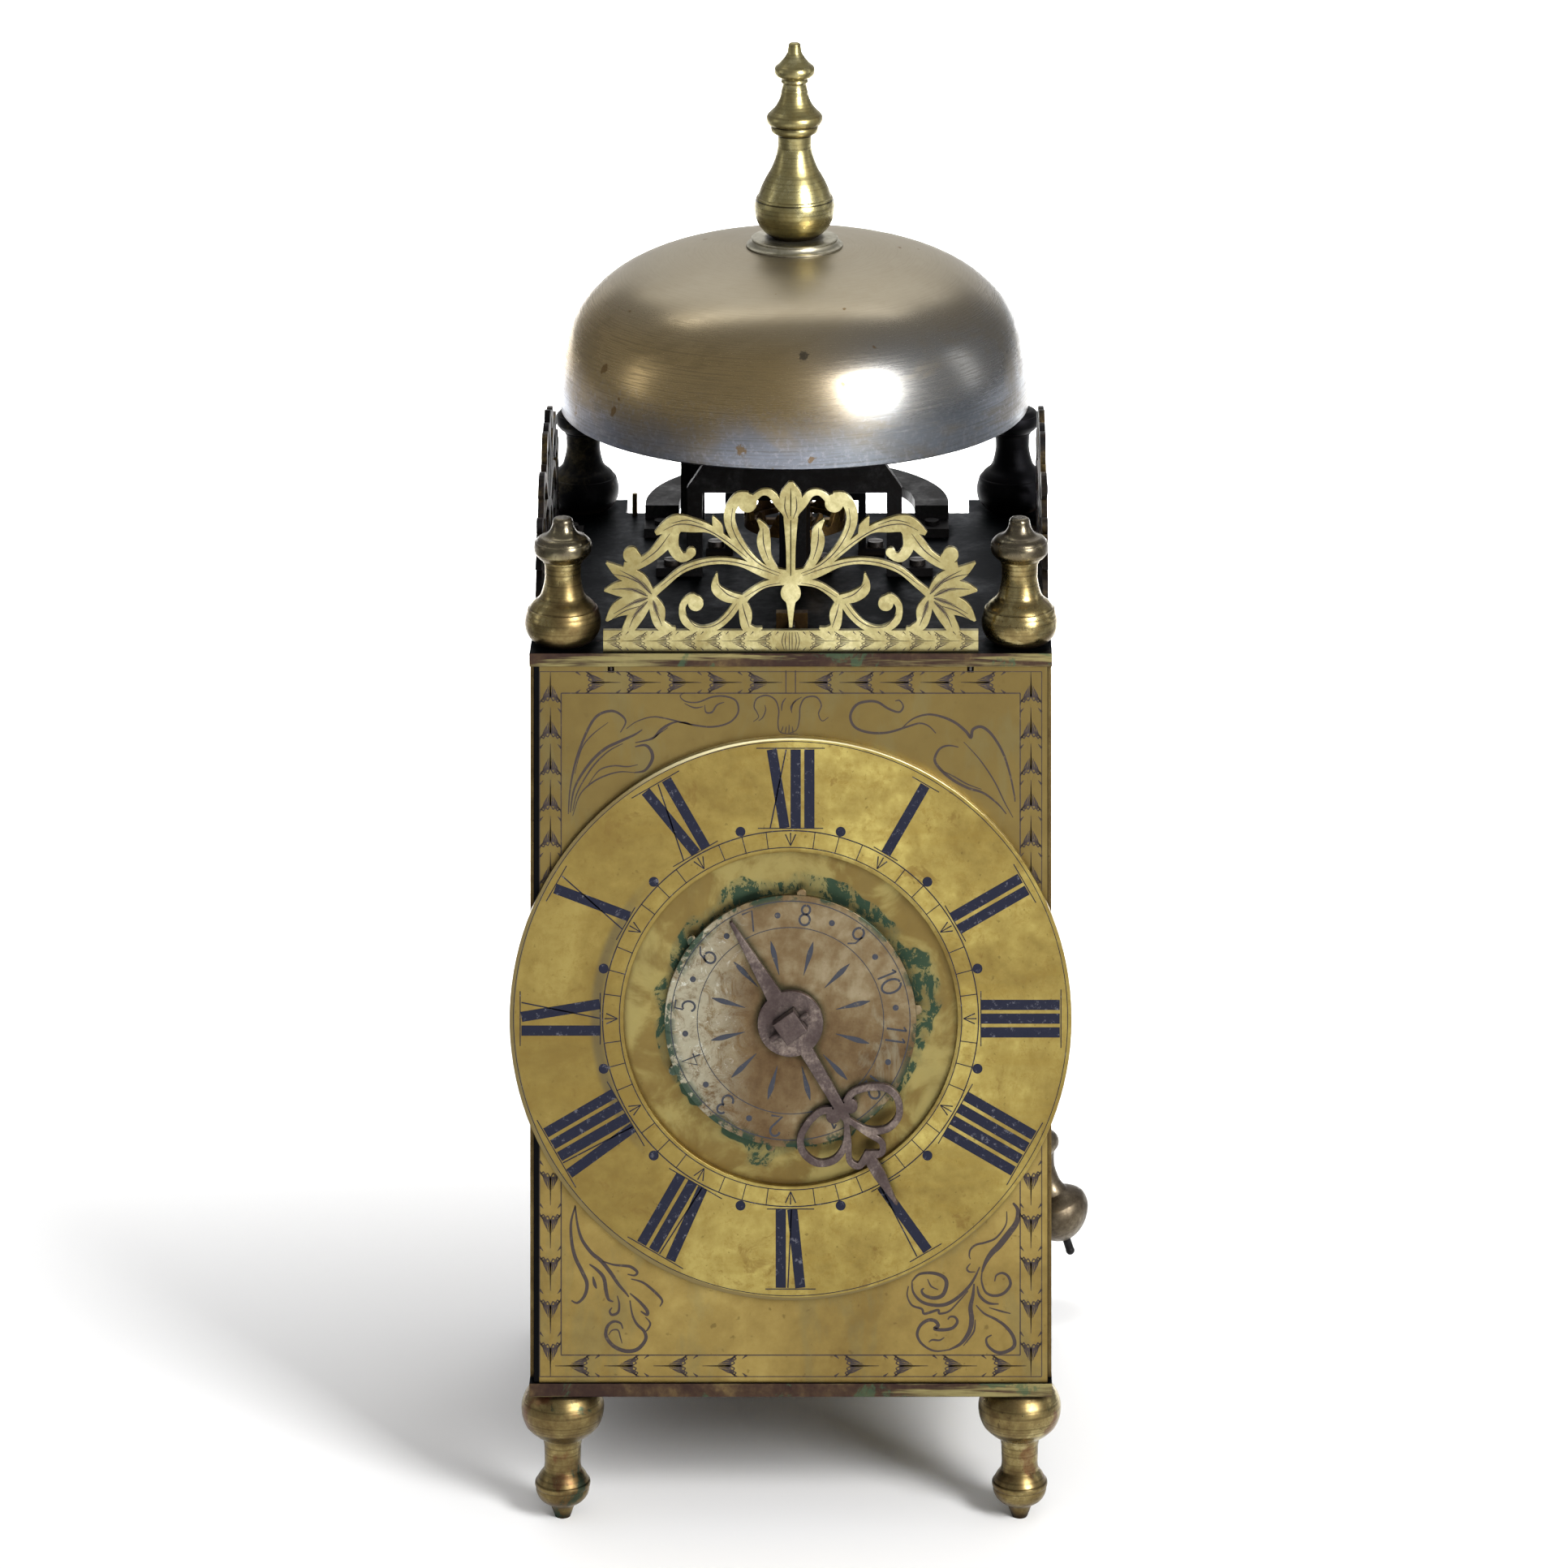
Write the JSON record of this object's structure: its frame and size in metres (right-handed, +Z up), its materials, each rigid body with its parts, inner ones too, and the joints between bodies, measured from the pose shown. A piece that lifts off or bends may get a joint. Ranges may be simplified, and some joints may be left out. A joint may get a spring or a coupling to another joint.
{
  "type": "lantern clock",
  "caption": "Four-posted brass clock with a domed bell, pierced frets, an engraved dial with one hand and an alarm disc, and a short swinging pendulum.",
  "frame": {"origin": "on the surface that the feet stand on, midway between the four feet", "axes": "+X to the right seen from the front, +Y from the dial to the back, +Z up"},
  "size_m": [0.1491, 0.1611, 0.3593],
  "materials": {
    "case_brass": "aged, brown with worn edges",
    "front_brass": "engraved, dull brown gold",
    "dial_brass": "engraved and waxed, mottled yellow gold",
    "fret_brass": "pierced, light yellow gold",
    "turned_brass": "turned, polished antique brass with dark grooves",
    "bell_metal": "satin bell metal with circular brushing",
    "disc_copper": "copper brown with pale corrosion",
    "iron": "dark forged iron",
    "hand_iron": "iron with a purple brown rust",
    "movement_brass": "old, smoked",
    "steel": "filed steel"
  },
  "bodies": {
    "frame": {"top_plate": "case_brass", "bottom_plate": "case_brass", "post_front_left": "iron", "post_front_right": "iron", "post_rear_left": "iron", "post_rear_right": "iron", "finial_front_left": "turned_brass", "finial_front_right": "turned_brass", "finial_rear_left": "turned_brass", "finial_rear_right": "turned_brass", "foot_front_left": "turned_brass", "foot_front_right": "turned_brass", "foot_rear_left": "turned_brass", "foot_rear_right": "turned_brass", "front_plate": "front_brass", "back_plate": "case_brass", "chapter_ring": "dial_brass", "front_fret": "fret_brass", "left_fret": "fret_brass", "right_fret": "fret_brass", "hanging_hoop": "iron", "bell_stand": "iron", "bell": "bell_metal", "bell_washer": "turned_brass", "bell_finial": "turned_brass", "front_bar": "movement_brass", "rear_bar": "movement_brass", "bar_pins": "steel", "plate_screws": "steel", "crown_potence": "movement_brass", "crown_bridge": "movement_brass", "verge_front_cock": "movement_brass", "verge_rear_cock": "movement_brass", "alarm_bracket": "iron", "lever_lug": "movement_brass"},
    "great": {"great_wheel": "movement_brass", "great_arbor": "steel"},
    "winding_pulley": {"rope_pulley": "movement_brass"},
    "second": {"second_wheel": "movement_brass", "second_arbor": "steel"},
    "contrate": {"contrate_wheel": "movement_brass", "contrate_arbor": "steel"},
    "crown": {"crown_wheel": "movement_brass", "crown_arbor": "steel"},
    "pendulum": {"verge": "steel", "pendulum_rod": "iron", "pendulum_bob": "turned_brass"},
    "hour": {"hour_wheel": "movement_brass"},
    "hand": {"hour_arbor": "iron", "hour_hand": "hand_iron", "hand_pin": "steel"},
    "alarm_dial": {"alarm_disc": "disc_copper"},
    "alarm_train": {"alarm_wheel": "movement_brass", "alarm_pulley": "movement_brass"},
    "hammer": {"alarm_verge": "iron", "alarm_hammer": "iron"},
    "lever": {"alarm_lever": "iron"},
    "left_door": {"left_door": "case_brass"},
    "right_door": {"right_door": "case_brass"}
  },
  "joints": [
    {"name": "crown_spin", "type": "hinge", "parent": "frame", "child": "crown", "pos_m": [0, 0.018, 0.2], "axis": [0, 0, -1], "continuous": true},
    {"name": "contrate_spin", "type": "hinge", "parent": "frame", "child": "contrate", "pos_m": [0, 0, 0.16208], "axis": [0, 1, 0], "continuous": true},
    {"name": "second_spin", "type": "hinge", "parent": "frame", "child": "second", "pos_m": [0, 0, 0.13548], "axis": [0, 1, 0], "continuous": true},
    {"name": "great_spin", "type": "hinge", "parent": "frame", "child": "great", "pos_m": [0, 0, 0.09868], "axis": [0, 1, 0], "continuous": true},
    {"name": "hour_spin", "type": "hinge", "parent": "frame", "child": "hour", "pos_m": [0, 0, 0.1291], "axis": [0, 1, 0], "continuous": true},
    {"name": "winding_spin", "type": "hinge", "parent": "great", "child": "winding_pulley", "pos_m": [0, 0, 0.09868], "axis": [0, 1, 0], "continuous": true},
    {"name": "hand_set", "type": "hinge", "parent": "hour", "child": "hand", "pos_m": [0, 0, 0.1291], "axis": [0, 1, 0], "continuous": true},
    {"name": "alarm_set", "type": "hinge", "parent": "hand", "child": "alarm_dial", "pos_m": [0, 0, 0.1291], "axis": [0, 1, 0], "continuous": true},
    {"name": "pendulum_swing", "type": "hinge", "parent": "frame", "child": "pendulum", "pos_m": [0, 0, 0.2386], "axis": [0, -1, 0], "range_deg": [-40.1, 3.9]},
    {"name": "alarm_spin", "type": "hinge", "parent": "frame", "child": "alarm_train", "pos_m": [-0.0276, 0, 0.196], "axis": [0, 1, 0], "continuous": true},
    {"name": "hammer_swing", "type": "hinge", "parent": "frame", "child": "hammer", "pos_m": [-0.0276, 0.036, 0.24], "axis": [0, 0, 1], "range_deg": [-10, 12]},
    {"name": "lever_lift", "type": "hinge", "parent": "frame", "child": "lever", "pos_m": [-0.044, 0, 0.15], "axis": [0, -1, 0], "range_deg": [0, 6]},
    {"name": "left_door_swing", "type": "hinge", "parent": "frame", "child": "left_door", "pos_m": [-0.0626, 0.0577, 0.12], "axis": [0, 0, -1], "range_deg": [0, 100]},
    {"name": "right_door_swing", "type": "hinge", "parent": "frame", "child": "right_door", "pos_m": [0.0626, 0.0577, 0.12], "axis": [0, 0, 1], "range_deg": [0, 100]}
  ],
  "couplings": [
    {"joint": "crown_spin", "follows": "second_spin", "ratio": 36},
    {"joint": "contrate_spin", "follows": "second_spin", "ratio": -6},
    {"joint": "great_spin", "follows": "second_spin", "ratio": -0.14286},
    {"joint": "hour_spin", "follows": "second_spin", "ratio": 0.011905}
  ]
}
